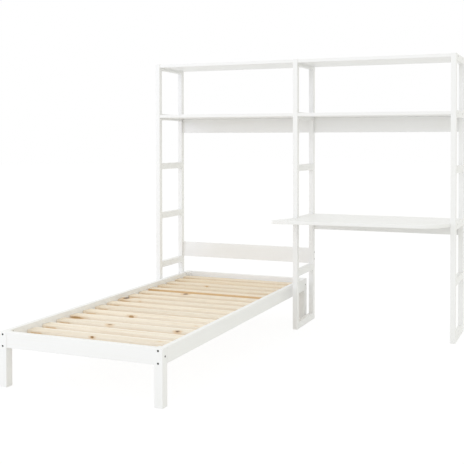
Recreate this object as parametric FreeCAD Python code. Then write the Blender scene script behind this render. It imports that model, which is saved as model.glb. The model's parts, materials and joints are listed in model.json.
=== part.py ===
"""Single bed standing in the left bay of a ladder-gable bookcase, with a desk in the right bay.

Millimetres. +Z is up, the wall side is +Y, the foot end of the bed is -Y, and the bed stands on
the left (-X) seen from its foot. The origin is on the floor, in the middle of the whole piece.
"""
import FreeCAD, Part
import math
import os

# ---- ladder gables ------------------------------------------------------------------------
GABLE_HEIGHT = 1870.0
GABLE_DEPTH = 374.0
POST_WIDTH = 34.0             # along X
POST_DEPTH = 36.0             # along Y
RUNG_HEIGHT = 45.0
RUNG_COUNT = 6                # bottom rail, four rungs, top rail
WOOD_EDGE_RADIUS = 2.5        # posts, rungs, bed legs and bed rails

# ---- shelves and boards -------------------------------------------------------------------
RUNGS_BELOW_TOP_SHELF = 5     # each shelf hangs at the rung that follows this many others
RUNGS_BELOW_BOOK_SHELF = 4
RUNGS_BELOW_DESK = 2
SHELF_THICKNESS = 22.0
SHELF_FRONT_INSET = 2.0       # shelf edge behind the posts' front faces
TOP_SHELF_DROP = 4.0          # shelf's top below the top of its rung
BOOK_SHELF_DROP = 8.0
BOARD_THICKNESS = 20.0
BRACE_HEIGHT = 108.0          # board under the book shelf, against the wall
HEADBOARD_HEIGHT = 111.0
HEADBOARD_BOTTOM = 409.0
BOARD_EDGE_RADIUS = 2.0

# ---- desk ---------------------------------------------------------------------------------
DESK_THICKNESS = 22.0
DESK_DROP = 2.0
DESK_REACH_LEFT = 223.0       # how far the tip on the bed's side stands before the gables
DESK_REACH_RIGHT = 159.0      # the same for the corner on the far side, before it is rounded
DESK_TIP_LENGTH = 90.0        # how far the tip stands past the middle gable, towards the bed
DESK_SWEEP_SETBACK = 84.0     # the far corner's distance from the right gable
DESK_TIP_RADIUS = 22.0
DESK_SWEEP_RADIUS = 150.0
DESK_EDGE_RADIUS = 3.0
DESK_POST_CLEARANCE = 1.0     # notch round the middle gable's front post
DESK_BOARD_HEIGHT = 90.0

# ---- bed ----------------------------------------------------------------------------------
MATTRESS_WIDTH = 900.0
MATTRESS_LENGTH = 2000.0
MATTRESS_SIDE_PLAY = 14.0     # on each side, to the side rails
MATTRESS_END_PLAY = 23.0      # at each end, to the foot and head rails
BED_SIDE_CLEARANCE = 29.0     # from the bed to the gable on each side
LEG_WIDTH = 48.0              # along X
LEG_DEPTH = 48.0              # along Y
BED_RAIL_TOP = 294.0
BED_RAIL_HEIGHT = 83.0
BED_RAIL_THICKNESS = 30.0
END_RAIL_INSET = 2.0          # foot and head rails behind the legs' outer faces
LEDGE_WIDTH = 22.0
LEDGE_HEIGHT = 35.0
LEDGE_END_GAP = 36.0          # keeps the ledge clear of the barrel nuts
SLAT_COUNT = 16
SLAT_WIDTH = 70.0
SLAT_THICKNESS = 18.0
SLAT_END_PLAY = 1.5
SLAT_EDGE_RADIUS = 2.0
TAPE_WIDTH = 25.0
TAPE_THICKNESS = 1.5
TAPE_FROM_LEDGE = 60.0

# ---- hardware -----------------------------------------------------------------------------
BOLT_RADIUS = 3.0
BOLT_HOLE_RADIUS = 3.4
BOLT_HEAD_RADIUS = 5.0
BOLT_HEAD_HEIGHT = 5.0
BOLT_SOCKET_FLATS = 5.0       # hexagon socket, across the flats
BOLT_SOCKET_DEPTH = 3.0
RECESS_RADIUS = 5.6
RECESS_DEPTH = 5.5
BOLT_TIP_PAST_NUT = 9.0
NUT_RADIUS = 5.0
NUT_LENGTH = 10.0
NUT_SETBACK = 28.0            # nut's axis from the end of the rail, shelf or board
BORE_END_LENGTH = 1.0         # a bolt's bore runs on past its tip by this much
HEXAGON_SIDES = 6
SHELF_BOLT_SPACING = 192.0
BOARD_BOLT_SPACING = 50.0
BED_BOLT_SPACING = 62.0
BED_BOLT_DROP = 2.0           # middle of the bed's bolts below the middle of its rails
DOWEL_RADIUS = 4.0
RUNG_DOWEL_DEPTH = 20.0       # into the post and into the rung
RUNG_DOWEL_SPACING = 24.0
BED_DOWEL_DEPTH = 14.0
BED_DOWEL_SPACING = 44.0
SCREW_RADIUS = 2.0
SCREW_HEAD_RADIUS = 4.0
SCREW_LENGTH = 40.0
SCREWS_PER_LEDGE = 7
SCREW_END_DISTANCE = 60.0

TOLERANCE = 0.001             # edges closer than this to a line or level count as lying on it

# ---- places that follow from the sizes -----------------------------------------------------
BED_WIDTH = MATTRESS_WIDTH + 2 * (MATTRESS_SIDE_PLAY + BED_RAIL_THICKNESS)
BED_LENGTH = MATTRESS_LENGTH + 2 * (MATTRESS_END_PLAY + BED_RAIL_THICKNESS + END_RAIL_INSET)
BAY_WIDTH = BED_WIDTH + 2 * BED_SIDE_CLEARANCE
GABLE_PITCH = BAY_WIDTH + POST_WIDTH      # from one gable to the same face of the next
TOTAL_WIDTH = 2 * GABLE_PITCH + POST_WIDTH
WALL_Y = BED_LENGTH / 2
GABLE_FRONT_Y = WALL_Y - GABLE_DEPTH
BED_FOOT_Y = WALL_Y - BED_LENGTH
RUNG_PITCH = (GABLE_HEIGHT - RUNG_HEIGHT) / (RUNG_COUNT - 1)
BED_BOLT_MIDDLE = BED_RAIL_TOP - BED_RAIL_HEIGHT / 2 - BED_BOLT_DROP
BED_RAIL_BOTTOM = BED_RAIL_TOP - BED_RAIL_HEIGHT
SLAT_BOTTOM = BED_RAIL_BOTTOM + LEDGE_HEIGHT
GABLES = {
    "left_gable": -TOTAL_WIDTH / 2,
    "middle_gable": -TOTAL_WIDTH / 2 + GABLE_PITCH,
    "right_gable": -TOTAL_WIDTH / 2 + 2 * GABLE_PITCH,
}
BAYS = {"left": ("left_gable", "middle_gable"), "right": ("middle_gable", "right_gable")}
X, Y, Z = FreeCAD.Vector(1, 0, 0), FreeCAD.Vector(0, 1, 0), FreeCAD.Vector(0, 0, 1)

solids = {}                   # node name: list of solids
bores = {}                    # node name: list of shapes to drill out of it


# ---- small tools --------------------------------------------------------------------------
def block(low, high):
    """A box between two corners, given in any order along each axis."""
    a = [min(p, q) for p, q in zip(low, high)]
    b = [max(p, q) for p, q in zip(low, high)]
    return Part.makeBox(b[0] - a[0], b[1] - a[1], b[2] - a[2], FreeCAD.Vector(*a))


def rod(start, axis, length, radius):
    """A cylinder that starts at a point and runs along an axis; a negative length runs back."""
    direction = axis if length > 0 else axis * -1
    return Part.makeCylinder(radius, abs(length), FreeCAD.Vector(start), direction)


def runs_along(edge, axis):
    """True for a straight edge parallel to the axis."""
    ends = edge.Vertexes[-1].Point - edge.Vertexes[0].Point
    return ends.Length > 0 and abs(abs(ends.normalize().dot(axis)) - 1) < TOLERANCE


def eased(solid, radius, axis, with_top=False):
    """Round the edges along an axis and, if asked, those of the upper face."""
    chosen = []
    for edge in solid.Edges:
        lies_on_top = min(v.Z for v in edge.Vertexes) > solid.BoundBox.ZMax - TOLERANCE
        if runs_along(edge, axis) or (with_top and lies_on_top):
            chosen.append(edge)
    return solid.makeFillet(radius, chosen)


def add(node, solid):
    """Put a solid in a node."""
    solids.setdefault(node, []).append(solid)


def drill(node, tool):
    """Note a shape to be cut out of a node's solids."""
    bores.setdefault(node, []).append(tool)


# ---- hardware -----------------------------------------------------------------------------
def hex_socket(face_centre, axis, sign):
    """The key's hexagonal hole in a bolt head, sunk along sign * axis from the head's face."""
    corner = BOLT_SOCKET_FLATS / math.sqrt(3)
    across = Y if axis is X else X
    up = axis.cross(across)
    ring = []
    for k in range(HEXAGON_SIDES + 1):
        turn = 2 * math.pi * k / HEXAGON_SIDES
        ring.append(face_centre + across * (corner * math.cos(turn)) + up * (corner * math.sin(turn)))
    return Part.Face(Part.makePolygon(ring)).extrude(axis * (sign * BOLT_SOCKET_DEPTH))


def bolt(node, head_node, end_node, nut_node, point, axis, sign, through, nut_axis, nut_mouth):
    """A recessed bolt through one piece into the end of the next, with its barrel nut.

    point lies on the outer face of the first piece, sign * axis points inwards, through is that
    piece's thickness, and the nut's hole runs along nut_axis out to nut_mouth on the end piece.
    """
    inward = axis * sign
    face = point + inward * (RECESS_DEPTH - BOLT_HEAD_HEIGHT)
    seat = point + inward * RECESS_DEPTH
    nut_centre = point + inward * (through + NUT_SETBACK)
    tip = through + NUT_SETBACK + BOLT_TIP_PAST_NUT
    head = rod(face, inward, BOLT_HEAD_HEIGHT, BOLT_HEAD_RADIUS)
    shank = rod(seat, inward, tip - RECESS_DEPTH, BOLT_RADIUS)
    add(node, head.fuse(shank).cut(hex_socket(face, axis, sign)).removeSplitter())
    recess = rod(point, inward, RECESS_DEPTH, RECESS_RADIUS)
    hole = rod(point, inward, through, BOLT_HOLE_RADIUS)
    drill(head_node, recess.fuse(hole))
    drill(end_node, rod(point + inward * through, inward, tip + BORE_END_LENGTH - through, BOLT_HOLE_RADIUS))
    barrel_nut(end_node, nut_node, nut_centre, inward, nut_axis, nut_mouth)


def barrel_nut(end_node, nut_node, centre, bolt_axis, nut_axis, mouth):
    """A cross-drilled steel barrel, its own hole in the wood, open at the given mouth."""
    start = centre - nut_axis * (NUT_LENGTH / 2)
    barrel = rod(start, nut_axis, NUT_LENGTH, NUT_RADIUS)
    reach = 2 * NUT_RADIUS    # past both sides of the barrel
    thread = rod(centre - bolt_axis * reach, bolt_axis, 2 * reach, BOLT_RADIUS)
    add(nut_node, barrel.cut(thread))
    offset = (mouth - centre).dot(nut_axis)
    back = centre - nut_axis * math.copysign(NUT_LENGTH / 2, offset)
    drill(end_node, rod(back, nut_axis, offset + math.copysign(NUT_LENGTH / 2, offset), NUT_RADIUS))


def stud(node, gable, point, left_node, right_node, nut_node, nut_axis, mouth_shift):
    """A threaded rod through the middle gable that joins the ends of the pieces on both sides.

    point lies on the gable's left face; mouth_shift leads from the bolt's line to the face of
    the end pieces where the nuts go in.
    """
    arm = NUT_SETBACK + BOLT_TIP_PAST_NUT
    add(node, rod(point - X * arm, X, POST_WIDTH + 2 * arm, BOLT_RADIUS))
    drill(gable, rod(point, X, POST_WIDTH, BOLT_HOLE_RADIUS))
    for end_node, face, side in ((left_node, point, -1), (right_node, point + X * POST_WIDTH, 1)):
        drill(end_node, rod(face, X, side * (arm + BORE_END_LENGTH), BOLT_HOLE_RADIUS))
        centre = face + X * (side * NUT_SETBACK)
        barrel_nut(end_node, nut_node, centre, X, nut_axis, centre + mouth_shift)


def dowel(node, first, second, point, axis, depth):
    """A beech pin, half in each of two pieces that meet at the point."""
    pin = rod(point - axis * depth, axis, 2 * depth, DOWEL_RADIUS)
    add(node, pin)
    drill(first, pin)
    drill(second, pin)


# ---- gables -------------------------------------------------------------------------------
def rung_bottom(level):
    """Height of a rung's underside."""
    return level * RUNG_PITCH


def rung_node(gable, level):
    """Name of the node that holds the rung at a level."""
    names = {0: "bottom_rail", RUNG_COUNT - 1: "top_rail"}
    return f"{gable}_{names.get(level, 'rungs')}"


def build_gable(gable, left):
    """One ladder gable: two posts, six rungs between them and the dowels that join them."""
    posts = {
        "front": (GABLE_FRONT_Y, GABLE_FRONT_Y + POST_DEPTH),
        "back": (WALL_Y - POST_DEPTH, WALL_Y),
    }
    for place, (y0, y1) in posts.items():
        post = block((left, y0, 0), (left + POST_WIDTH, y1, GABLE_HEIGHT))
        post = eased(post, WOOD_EDGE_RADIUS, Z, with_top=True)
        add(f"{gable}_{place}_post", post)
    y0, y1 = posts["front"][1], posts["back"][0]
    for level in range(RUNG_COUNT):
        z = rung_bottom(level)
        rung = block((left, y0, z), (left + POST_WIDTH, y1, z + RUNG_HEIGHT))
        node = rung_node(gable, level)
        add(node, eased(rung, WOOD_EDGE_RADIUS, Y))
        for place, y in (("front", y0), ("back", y1)):
            for side in (-1, 1):
                height = z + RUNG_HEIGHT / 2 + side * RUNG_DOWEL_SPACING / 2
                point = FreeCAD.Vector(left + POST_WIDTH / 2, y, height)
                dowel("gable_dowels", f"{gable}_{place}_post", node, point, Y, RUNG_DOWEL_DEPTH)


# ---- shelves, boards and desk ---------------------------------------------------------------
def bay_span(bay):
    """The clear X range between a bay's two gables."""
    left, right = BAYS[bay]
    return GABLES[left] + POST_WIDTH, GABLES[right]


def shelf_underside(level, drop, thickness):
    """Height of the underside of a shelf hung at a rung."""
    return rung_bottom(level) + RUNG_HEIGHT - drop - thickness


def build_shelf(node, bay, level, drop):
    """A full-depth shelf that butts against the gables' inner faces."""
    x0, x1 = bay_span(bay)
    z = shelf_underside(level, drop, SHELF_THICKNESS)
    board = block((x0, GABLE_FRONT_Y + SHELF_FRONT_INSET, z), (x1, WALL_Y, z + SHELF_THICKNESS))
    add(node, eased(board, BOARD_EDGE_RADIUS, X))


def build_board(node, bay, bottom, height):
    """An upright board against the wall, between a bay's two back posts."""
    x0, x1 = bay_span(bay)
    board = block((x0, WALL_Y - BOARD_THICKNESS, bottom), (x1, WALL_Y, bottom + height))
    add(node, eased(board, BOARD_EDGE_RADIUS, X))


def shelf_bolt_points(level, drop, thickness):
    """Y and Z of the two bolts that hold one end of a shelf."""
    middle = (GABLE_FRONT_Y + WALL_Y) / 2
    z = shelf_underside(level, drop, thickness) + thickness / 2
    return [(middle + side * SHELF_BOLT_SPACING / 2, z) for side in (-1, 1)]


def board_bolt_points(bottom, height):
    """Y and Z of the two bolts that hold one end of an upright board."""
    y = WALL_Y - BOARD_THICKNESS / 2
    return [(y, bottom + height / 2 + side * BOARD_BOLT_SPACING / 2) for side in (-1, 1)]


def fasten_end(piece, gable_node, gable, side, points, nut_axis, mouth_shift):
    """Bolts from a gable's far face into one end of a piece; side is +1 if it lies to the right."""
    face = GABLES[gable] if side > 0 else GABLES[gable] + POST_WIDTH
    for y, z in points:
        point = FreeCAD.Vector(face, y, z)
        nut_centre = point + X * (side * (POST_WIDTH + NUT_SETBACK))
        bolt("shelf_bolts", gable_node, piece, "shelf_barrel_nuts", point, X, side,
             POST_WIDTH, nut_axis, nut_centre + mouth_shift)


def fasten_both(left_piece, right_piece, gable_node, points, nut_axis, mouth_shift):
    """Studs through the middle gable, for two pieces that meet it at the same height."""
    for y, z in points:
        point = FreeCAD.Vector(GABLES["middle_gable"], y, z)
        stud("middle_gable_studs", gable_node, point, left_piece, right_piece,
             "shelf_barrel_nuts", nut_axis, mouth_shift)


def build_shelves():
    """Two shelf levels right across both bays."""
    levels = (("top_shelf", RUNGS_BELOW_TOP_SHELF, TOP_SHELF_DROP),
              ("book_shelf", RUNGS_BELOW_BOOK_SHELF, BOOK_SHELF_DROP))
    down = Z * (-SHELF_THICKNESS / 2)
    for name, level, drop in levels:
        left, right = f"{name}_left", f"{name}_right"
        build_shelf(left, "left", level, drop)
        build_shelf(right, "right", level, drop)
        points = shelf_bolt_points(level, drop, SHELF_THICKNESS)
        fasten_end(left, rung_node("left_gable", level), "left_gable", 1, points, Z, down)
        fasten_end(right, rung_node("right_gable", level), "right_gable", -1, points, Z, down)
        fasten_both(left, right, rung_node("middle_gable", level), points, Z, down)


def build_boards():
    """The braces under the book shelf, the headboard and the board under the desk."""
    to_wall = Y * (BOARD_THICKNESS / 2)
    brace_bottom = shelf_underside(RUNGS_BELOW_BOOK_SHELF, BOOK_SHELF_DROP, SHELF_THICKNESS) - BRACE_HEIGHT
    desk_board_bottom = shelf_underside(RUNGS_BELOW_DESK, DESK_DROP, DESK_THICKNESS) - DESK_BOARD_HEIGHT
    build_board("brace_board_left", "left", brace_bottom, BRACE_HEIGHT)
    build_board("brace_board_right", "right", brace_bottom, BRACE_HEIGHT)
    build_board("headboard", "left", HEADBOARD_BOTTOM, HEADBOARD_HEIGHT)
    build_board("desk_back_board", "right", desk_board_bottom, DESK_BOARD_HEIGHT)
    points = board_bolt_points(brace_bottom, BRACE_HEIGHT)
    fasten_end("brace_board_left", "left_gable_back_post", "left_gable", 1, points, Y, to_wall)
    fasten_end("brace_board_right", "right_gable_back_post", "right_gable", -1, points, Y, to_wall)
    fasten_both("brace_board_left", "brace_board_right", "middle_gable_back_post", points, Y, to_wall)
    points = board_bolt_points(HEADBOARD_BOTTOM, HEADBOARD_HEIGHT)
    fasten_end("headboard", "left_gable_back_post", "left_gable", 1, points, Y, to_wall)
    fasten_end("headboard", "middle_gable_back_post", "middle_gable", -1, points, Y, to_wall)
    points = board_bolt_points(desk_board_bottom, DESK_BOARD_HEIGHT)
    fasten_end("desk_back_board", "middle_gable_back_post", "middle_gable", 1, points, Y, to_wall)
    fasten_end("desk_back_board", "right_gable_back_post", "right_gable", -1, points, Y, to_wall)


def rounded_outline(corners, z):
    """A closed wire through (x, y, radius) corners, each rounded by an arc of its radius."""
    pieces = []
    last = None
    count = len(corners)
    ends = []
    for k, (x, y, radius) in enumerate(corners):
        here = FreeCAD.Vector(x, y, z)
        before = FreeCAD.Vector(*corners[k - 1][:2], z)
        after = FreeCAD.Vector(*corners[(k + 1) % count][:2], z)
        back, forth = (before - here).normalize(), (after - here).normalize()
        if radius == 0:
            ends.append((here, None, here))
            continue
        half = math.acos(max(-1.0, min(1.0, back.dot(forth)))) / 2
        reach = radius / math.tan(half)
        bisector = (back + forth).normalize()
        top = here + bisector * (radius / math.sin(half) - radius)
        ends.append((here + back * reach, top, here + forth * reach))
    for entry, top, leave in ends:
        if last is not None:
            pieces.append(Part.LineSegment(last, entry).toShape())
        if top is not None:
            pieces.append(Part.Arc(entry, top, leave).toShape())
        last = leave
    pieces.append(Part.LineSegment(last, ends[0][0]).toShape())
    return Part.Wire(pieces)


def build_desk():
    """The desk top: full bay depth, notched round the middle post, wider than deep in front."""
    x0, x1 = bay_span("right")
    z = shelf_underside(RUNGS_BELOW_DESK, DESK_DROP, DESK_THICKNESS)
    post_left = GABLES["middle_gable"]
    notch_y = GABLE_FRONT_Y - DESK_POST_CLEARANCE
    corners = [
        (x0, WALL_Y, 0),
        (x0, notch_y, 0),
        (post_left, notch_y, 0),
        (post_left - DESK_TIP_LENGTH, GABLE_FRONT_Y - DESK_REACH_LEFT, DESK_TIP_RADIUS),
        (x1 - DESK_SWEEP_SETBACK, GABLE_FRONT_Y - DESK_REACH_RIGHT, DESK_SWEEP_RADIUS),
        (x1, GABLE_FRONT_Y, 0),
        (x1, WALL_Y, 0),
    ]
    top = Part.Face(rounded_outline(corners, z)).extrude(Z * DESK_THICKNESS)
    free_edges = []
    for edge in top.Edges:
        level = abs(edge.Vertexes[0].Z - edge.Vertexes[-1].Z) < TOLERANCE
        if level and max(v.Y for v in edge.Vertexes) < GABLE_FRONT_Y + TOLERANCE:
            lies_in_notch = runs_along(edge, X)
            if not lies_in_notch:
                free_edges.append(edge)
    add("desk_top", top.makeFillet(DESK_EDGE_RADIUS, free_edges))
    points = shelf_bolt_points(RUNGS_BELOW_DESK, DESK_DROP, DESK_THICKNESS)
    down = Z * (-DESK_THICKNESS / 2)
    fasten_end("desk_top", rung_node("middle_gable", RUNGS_BELOW_DESK), "middle_gable", 1, points, Z, down)
    fasten_end("desk_top", rung_node("right_gable", RUNGS_BELOW_DESK), "right_gable", -1, points, Z, down)


# ---- bed ------------------------------------------------------------------------------------
def bed_sides():
    """X of the bed's two outer faces, with the bed centred in the left bay."""
    x0, x1 = bay_span("left")
    middle = (x0 + x1) / 2
    return middle - BED_WIDTH / 2, middle + BED_WIDTH / 2


def build_bed_corner(side, end, x, y, inward_x, inward_y):
    """A leg, the two bolts into its side rail, and the bolt and dowels into its end rail."""
    leg_node = f"bed_leg_{end}_{side}"
    leg = block((x, y, 0), (x + inward_x * LEG_WIDTH, y + inward_y * LEG_DEPTH, BED_RAIL_TOP))
    add(leg_node, eased(leg, WOOD_EDGE_RADIUS, Z, with_top=True))
    inner_face_x = x + inward_x * BED_RAIL_THICKNESS
    inner_face_y = y + inward_y * (END_RAIL_INSET + BED_RAIL_THICKNESS)
    bolt_x = inner_face_x - inward_x * NUT_LENGTH / 2
    bolt_y = inner_face_y - inward_y * NUT_LENGTH / 2
    for step in (-1, 1):
        height = BED_BOLT_MIDDLE + step * BED_BOLT_SPACING / 2
        mouth = FreeCAD.Vector(inner_face_x, y + inward_y * (LEG_DEPTH + NUT_SETBACK), height)
        bolt("bed_bolts", leg_node, f"bed_side_rail_{side}", "bed_barrel_nuts",
             FreeCAD.Vector(bolt_x, y, height), Y, inward_y, LEG_DEPTH, X, mouth)
    mouth = FreeCAD.Vector(x + inward_x * (LEG_WIDTH + NUT_SETBACK), inner_face_y, BED_BOLT_MIDDLE)
    bolt("bed_bolts", leg_node, f"bed_{end}_rail", "bed_barrel_nuts",
         FreeCAD.Vector(x, bolt_y, BED_BOLT_MIDDLE), X, inward_x, LEG_WIDTH, Y, mouth)
    for step in (-1, 1):
        height = BED_BOLT_MIDDLE + step * BED_DOWEL_SPACING / 2
        point = FreeCAD.Vector(x + inward_x * LEG_WIDTH, bolt_y, height)
        dowel("bed_dowels", leg_node, f"bed_{end}_rail", point, X, BED_DOWEL_DEPTH)


def build_bed_rails():
    """Side rails between the legs of each side, foot and head rails between those of each end."""
    x0, x1 = bed_sides()
    y0, y1 = BED_FOOT_Y + LEG_DEPTH, WALL_Y - LEG_DEPTH
    for side, x, inward in (("left", x0, 1), ("right", x1, -1)):
        rail = block((x, y0, BED_RAIL_BOTTOM), (x + inward * BED_RAIL_THICKNESS, y1, BED_RAIL_TOP))
        add(f"bed_side_rail_{side}", eased(rail, WOOD_EDGE_RADIUS, Y))
        build_ledge(side, x + inward * BED_RAIL_THICKNESS, inward, y0, y1)
    for end, y, inward in (("foot", BED_FOOT_Y, 1), ("head", WALL_Y, -1)):
        outer = y + inward * END_RAIL_INSET
        rail = block((x0 + LEG_WIDTH, outer, BED_RAIL_BOTTOM),
                     (x1 - LEG_WIDTH, outer + inward * BED_RAIL_THICKNESS, BED_RAIL_TOP))
        add(f"bed_{end}_rail", eased(rail, WOOD_EDGE_RADIUS, X))


def build_ledge(side, rail_face, inward, y0, y1):
    """The strip along a side rail that carries the slats, and its screws."""
    start, end = y0 + LEDGE_END_GAP, y1 - LEDGE_END_GAP
    inner = rail_face + inward * LEDGE_WIDTH
    node = f"slat_ledge_{side}"
    add(node, block((rail_face, start, BED_RAIL_BOTTOM), (inner, end, SLAT_BOTTOM)))
    first = start + SCREW_END_DISTANCE
    step = (end - start - 2 * SCREW_END_DISTANCE) / (SCREWS_PER_LEDGE - 1)
    height = BED_RAIL_BOTTOM + LEDGE_HEIGHT / 2
    taper = SCREW_HEAD_RADIUS - SCREW_RADIUS
    for k in range(SCREWS_PER_LEDGE):
        face = FreeCAD.Vector(inner, first + k * step, height)
        head = Part.makeCone(SCREW_HEAD_RADIUS, SCREW_RADIUS, taper, face, X * -inward)
        shank = rod(face - X * (inward * taper), X, -inward * (SCREW_LENGTH - taper), SCREW_RADIUS)
        screw = head.fuse(shank)
        add("ledge_screws", screw)
        drill(node, screw)
        drill(f"bed_side_rail_{side}", screw)


def build_slats():
    """Pine slats at an even pitch between the foot and head rails, and the tapes under them."""
    x0, x1 = bed_sides()
    left = x0 + BED_RAIL_THICKNESS + SLAT_END_PLAY
    right = x1 - BED_RAIL_THICKNESS - SLAT_END_PLAY
    first = BED_FOOT_Y + END_RAIL_INSET + BED_RAIL_THICKNESS
    pitch = (BED_LENGTH - 2 * (END_RAIL_INSET + BED_RAIL_THICKNESS)) / SLAT_COUNT
    for k in range(SLAT_COUNT):
        y = first + (k + 0.5) * pitch
        slat = block((left, y - SLAT_WIDTH / 2, SLAT_BOTTOM),
                     (right, y + SLAT_WIDTH / 2, SLAT_BOTTOM + SLAT_THICKNESS))
        add(f"slat_{k + 1:02d}", eased(slat, SLAT_EDGE_RADIUS, X))
    y0 = first + pitch / 2 - SLAT_WIDTH / 2
    y1 = first + (SLAT_COUNT - 0.5) * pitch + SLAT_WIDTH / 2
    ledge_reach = BED_RAIL_THICKNESS + LEDGE_WIDTH + TAPE_FROM_LEDGE
    for x in (x0 + ledge_reach, x1 - ledge_reach - TAPE_WIDTH):
        add("slat_tapes", block((x, y0, SLAT_BOTTOM - TAPE_THICKNESS), (x + TAPE_WIDTH, y1, SLAT_BOTTOM)))


def build_bed():
    """The low single bed that stands head end to the wall in the left bay."""
    x0, x1 = bed_sides()
    for end, y, inward_y in (("foot", BED_FOOT_Y, 1), ("head", WALL_Y, -1)):
        build_bed_corner("left", end, x0, y, 1, inward_y)
        build_bed_corner("right", end, x1, y, -1, inward_y)
    build_bed_rails()
    build_slats()


# ---- output -----------------------------------------------------------------------------------
def drilled(solid, tools):
    """A solid with those of the given tools cut out that reach it."""
    near = [tool for tool in tools if tool.BoundBox.intersect(solid.BoundBox)]
    return solid.cut(near) if near else solid


def write_nodes():
    """Write each node to its own file, a group of like pieces as one compound."""
    os.makedirs("parts", exist_ok=True)
    for node, pieces in solids.items():
        done = []
        for piece in pieces:
            done.extend(drilled(piece, bores.get(node, [])).Solids)
        shape = done[0] if len(done) == 1 else Part.makeCompound(done)
        shape.exportStep(f"parts/{node}.step")


for gable_name, gable_left in GABLES.items():
    build_gable(gable_name, gable_left)
build_shelves()
build_boards()
build_desk()
build_bed()
write_nodes()
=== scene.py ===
"""Finish of a single bed that stands in the left bay of a ladder-gable bookcase with a desk.

Metres, +Z up. The wall side is +Y, the bed's foot end is -Y and the desk's bay is at +X.
White pieces get a lacquer over fine pine grain, slats get planed pine with knots, and bolts,
screws, studs, dowels and tapes are modelled again with their heads, threads, flutes and sag. The
staples are made here alone.
"""

import json
import math

import bpy
import numpy as np
from bpy.props import FloatProperty, FloatVectorProperty, IntProperty, PointerProperty
from bpy.types import Operator, Panel, PropertyGroup
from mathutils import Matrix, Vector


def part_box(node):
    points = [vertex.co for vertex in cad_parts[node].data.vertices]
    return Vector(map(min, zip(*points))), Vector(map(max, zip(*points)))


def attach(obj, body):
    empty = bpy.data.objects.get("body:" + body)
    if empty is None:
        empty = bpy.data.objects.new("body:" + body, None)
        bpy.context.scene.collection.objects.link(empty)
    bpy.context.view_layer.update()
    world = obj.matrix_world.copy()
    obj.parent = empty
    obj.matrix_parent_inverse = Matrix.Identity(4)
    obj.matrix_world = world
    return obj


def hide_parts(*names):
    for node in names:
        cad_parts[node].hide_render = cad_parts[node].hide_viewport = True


bl_info = {
    "name": "Bookcase Bed Finish",
    "version": (1, 0, 0),
    "blender": (4, 5, 0),
    "location": "3D View > Sidebar > Bookcase Bed",
    "description": "Finishes, fasteners, tapes, light and camera for a bed in a ladder-gable bookcase",
    "category": "Object",
}

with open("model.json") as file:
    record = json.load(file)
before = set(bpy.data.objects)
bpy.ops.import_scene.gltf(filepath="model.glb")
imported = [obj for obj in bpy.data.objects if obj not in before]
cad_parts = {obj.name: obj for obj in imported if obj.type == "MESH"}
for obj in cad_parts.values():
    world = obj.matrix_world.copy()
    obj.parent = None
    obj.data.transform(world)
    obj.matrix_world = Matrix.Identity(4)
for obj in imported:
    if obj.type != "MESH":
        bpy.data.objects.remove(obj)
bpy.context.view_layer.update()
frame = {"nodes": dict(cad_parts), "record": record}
BODY = "root"

SLATS = sorted(name for name in frame["nodes"] if name.startswith("slat_") and name[5:].isdigit())
WHITE_NODES = sorted(
    part["node"] for part in frame["record"]["subparts"] if part["material_slot"] == "white_lacquer")
MM = 0.001


# ---- shader maths ---------------------------------------------------------------------------
MIX_SHARE, MIX_FIRST, MIX_SECOND, MIX_RESULT = 0, 6, 7, 2       # a Mix node's colour sockets


class Wire:
    """An output socket of a finish. Sums and products of wires and numbers add Math nodes."""

    def __init__(self, finish, socket):
        self.finish = finish
        self.socket = socket

    def __add__(self, other):
        return self.finish.maths("ADD", self, other)

    def __sub__(self, other):
        return self.finish.maths("SUBTRACT", self, other)

    def __rsub__(self, other):
        return self.finish.maths("SUBTRACT", other, self)

    def __mul__(self, other):
        return self.finish.maths("MULTIPLY", self, other)

    def __truediv__(self, other):
        return self.finish.maths("DIVIDE", self, other)

    def __rtruediv__(self, other):
        return self.finish.maths("DIVIDE", other, self)

    __radd__ = __add__
    __rmul__ = __mul__


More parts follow.
